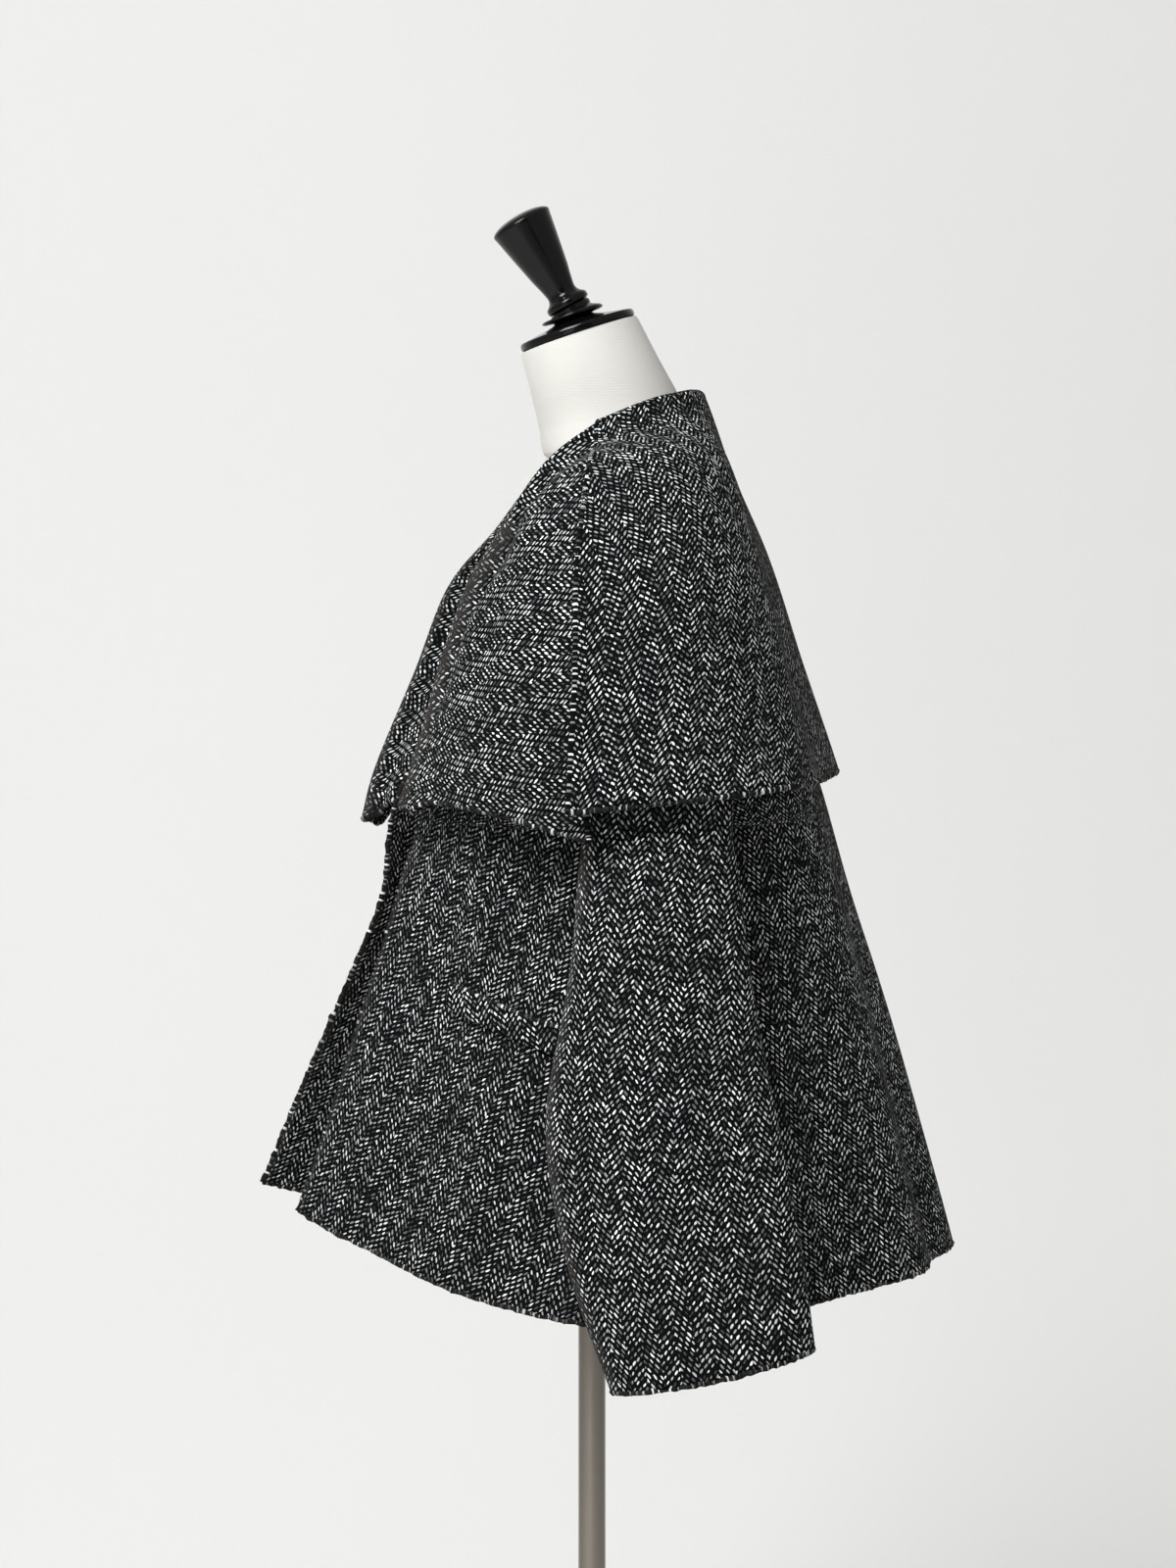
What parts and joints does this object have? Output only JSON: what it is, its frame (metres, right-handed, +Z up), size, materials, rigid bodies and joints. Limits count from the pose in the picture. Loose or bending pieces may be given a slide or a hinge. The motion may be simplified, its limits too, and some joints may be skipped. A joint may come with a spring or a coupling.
{
  "type": "wool cape coat on a dress form",
  "caption": "Herringbone wool coat with a wide cape collar, open front and wide empty sleeves, resting on a limbless dress form with a knob, a pole and a round base plate.",
  "frame": {"origin": "middle of the underside of the base plate, on the pole's axis", "axes": "+Z up, the coat's front faces -Y, the wearer's left is +X"},
  "size_m": [0.64, 0.557, 1.5644],
  "materials": {
    "wool": "black and white herringbone wool, matt and slightly fuzzy",
    "cream_cover": "smooth cream cover",
    "black_gloss": "black gloss lacquer",
    "chrome": "polished chrome"
  },
  "bodies": {
    "root": {"coat_back": "wool", "coat_front_left": "wool", "coat_front_right": "wool", "sleeve_left": "wool", "sleeve_right": "wool", "collar_back": "wool", "lapel_left": "wool", "lapel_right": "wool", "pocket_welt_left": "wool", "pocket_welt_right": "wool", "form_torso": "cream_cover", "form_neck_cap": "black_gloss", "form_knob": "black_gloss", "form_pole": "chrome", "form_base": "chrome"}
  },
  "joints": []
}
